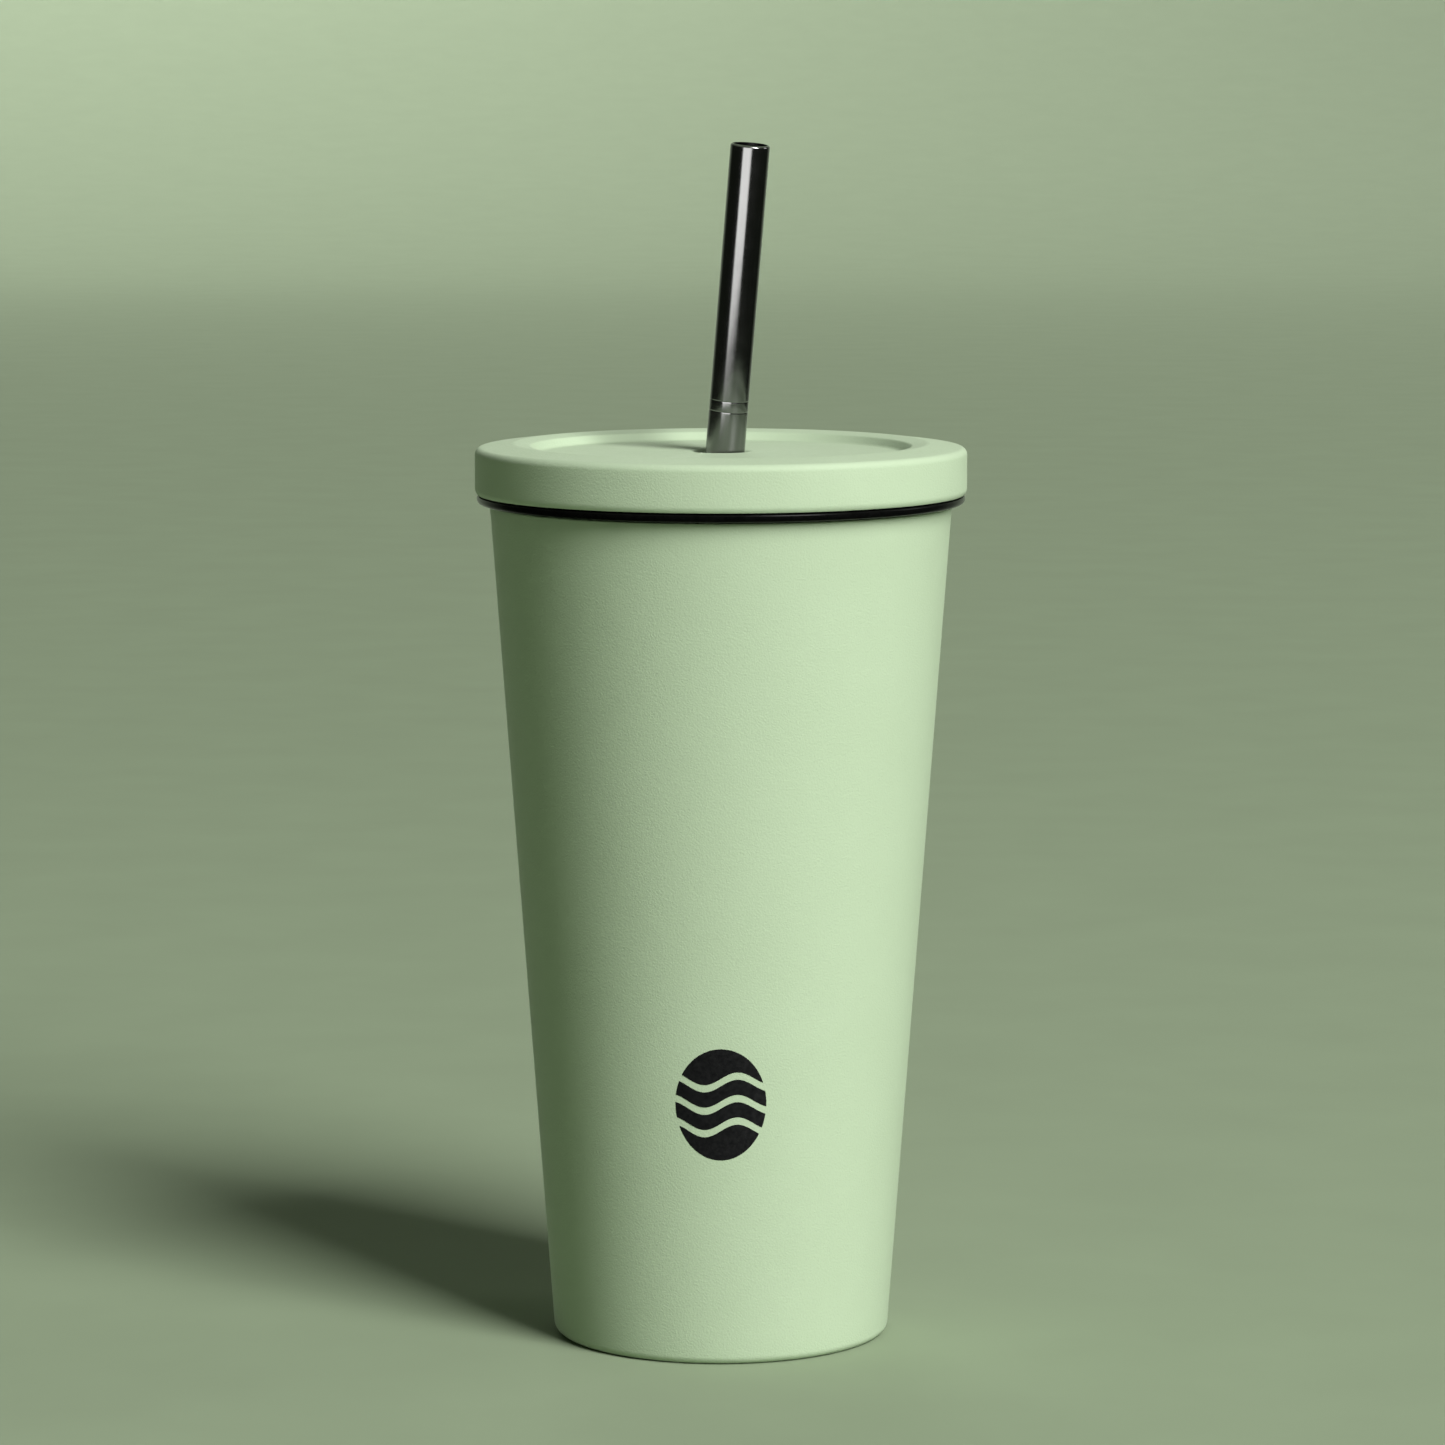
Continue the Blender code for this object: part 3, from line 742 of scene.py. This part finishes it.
def build_cove():
    """Pale floor, and a wall that curves up from it all round, far from the mug. The wall lights nothing."""
    floor_outline = [(0.0, 0.0)] + line((0.0, 0.0), (FLOOR_RADIUS, 0.0), 8)
    stage_piece("floor", floor_outline, stage_finish("pale_floor"))
    wall_outline = arc((FLOOR_RADIUS, COVE_ROUND), COVE_ROUND, -90, 0, 24) + [COVE_TOP]
    wall = stage_piece("wall", wall_outline, stage_finish("pale_wall"))
    wall.visible_diffuse = False


def build_world():
    """Dim room. What shines sees a dark studio in front, a lit backdrop behind the mug and a pale ceiling."""
    world = bpy.data.worlds.new("room")
    bpy.context.scene.world = world
    world.use_nodes = True
    tree = world.node_tree
    background = tree.nodes["Background"]
    background.inputs["Color"].default_value = GLOW_COLOUR
    place = tree.nodes.new("ShaderNodeTexCoord")
    split = tree.nodes.new("ShaderNodeSeparateXYZ")
    tree.links.new(place.outputs["Generated"], split.inputs["Vector"])

    def reach(axis, low, high, start, end):
        """Strength from start to end, while a direction's part along an axis goes from low to high."""
        node = tree.nodes.new("ShaderNodeMapRange")
        tree.links.new(split.outputs[axis], node.inputs["Value"])
        for socket, value in zip(("From Min", "From Max", "To Min", "To Max"), (low, high, start, end)):
            node.inputs[socket].default_value = value
        return node.outputs["Result"]

    seen = tree.nodes.new("ShaderNodeMath")
    seen.operation = "MAXIMUM"
    tree.links.new(reach("Y", low=0.55, high=0.95, start=0.025, end=0.50), seen.inputs[0])
    tree.links.new(reach("Z", low=0.30, high=0.85, start=0.0, end=0.45), seen.inputs[1])
    rays = tree.nodes.new("ShaderNodeLightPath")
    mix = tree.nodes.new("ShaderNodeMix")
    tree.links.new(rays.outputs["Is Glossy Ray"], mix.inputs["Factor"])
    mix.inputs["A"].default_value = ROOM_GLOW
    tree.links.new(seen.outputs["Value"], mix.inputs["B"])
    tree.links.new(mix.outputs["Result"], background.inputs["Strength"])


def build_stage():
    """The cove, the room, a large key light high to the right in front, and two weak lights."""
    build_cove()
    build_world()
    soft_light("key", azimuth=39, elevation=38, distance=8.5, size=(3.2, 6.6), power=1080.0)
    soft_light("side", azimuth=104, elevation=20, distance=8.0, size=(2.6, 2.6), power=52.0)
    fill = soft_light("fill", azimuth=190, elevation=12, distance=8.0, size=(3.0, 3.0), power=190.0)
    fill.visible_glossy = False


def build_card(straw):
    """A card low in front. It lights only the straw, which shows it as a long soft stripe."""
    card = soft_light("card", azimuth=-14, elevation=10, distance=0.9, size=(0.84, 0.50), power=4.2)
    receivers = bpy.data.collections.new("card_receivers")
    receivers.objects.link(straw)
    card.light_linking.receiver_collection = receivers


def build_camera():
    data = bpy.data.cameras.new("camera")
    data.lens = CAMERA_LENS
    data.sensor_width = CAMERA_FILM
    data.clip_end = CAMERA_REACH
    camera = bpy.data.objects.new("camera", data)
    bpy.context.collection.objects.link(camera)
    camera.location = CAMERA_PLACE
    camera.rotation_euler = (math.radians(90.0 - CAMERA_DIP), 0.0, 0.0)
    bpy.context.scene.camera = camera


# ---------------------------------------------------------------- build

def dress_node(node, material):
    """Give a CAD node that stays visible its own material."""
    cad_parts[node].material_slots[0].material = material


def build():
    bpy.context.scene.view_settings.view_transform = "Standard"
    build_camera()
    build_stage()
    build_shell(powder_coat("cup_coat"))
    build_liner(brushed_steel("liner_steel", LINER_STEEL, 0.30, along=(0.15, 0.15, 6.0)))
    build_base_cover(brushed_steel("base_steel", BASE_STEEL, 0.34, along=(2.0, 2.0, 2.0)))
    build_emblem(print_ink("sign_ink"))
    build_lid_cover(powder_coat("lid_coat"))
    build_plug(black_plastic("plug_plastic", PLUG_BLACK, 0.22, 900.0, shine=0.08))
    build_card(build_straw(straw_metal("straw_coating")))
    dress_node("lid_seal", black_plastic("seal_silicone", SEAL_BLACK, 0.6, 1600.0))
    dress_node("foil_wrap", crinkled_foil("foil"))
    dress_node("vacuum_base", plain_grain("pan_steel", PAN_STEEL, 0.42, 1.0, 500.0, 0.01 * MM))
    dress_node("getter_tray", plain_grain("tray_steel", TRAY_STEEL, 0.45, 1.0, 700.0, 0.01 * MM))
    dress_node("getter_pellet", plain_grain("getter", GETTER_GREY, 0.80, 0.4, 2500.0, 0.06 * MM))
    dress_node("seal_bead", plain_grain("solder", SOLDER_GLASS, 0.16, 0.0, 600.0, 0.01 * MM))


build()
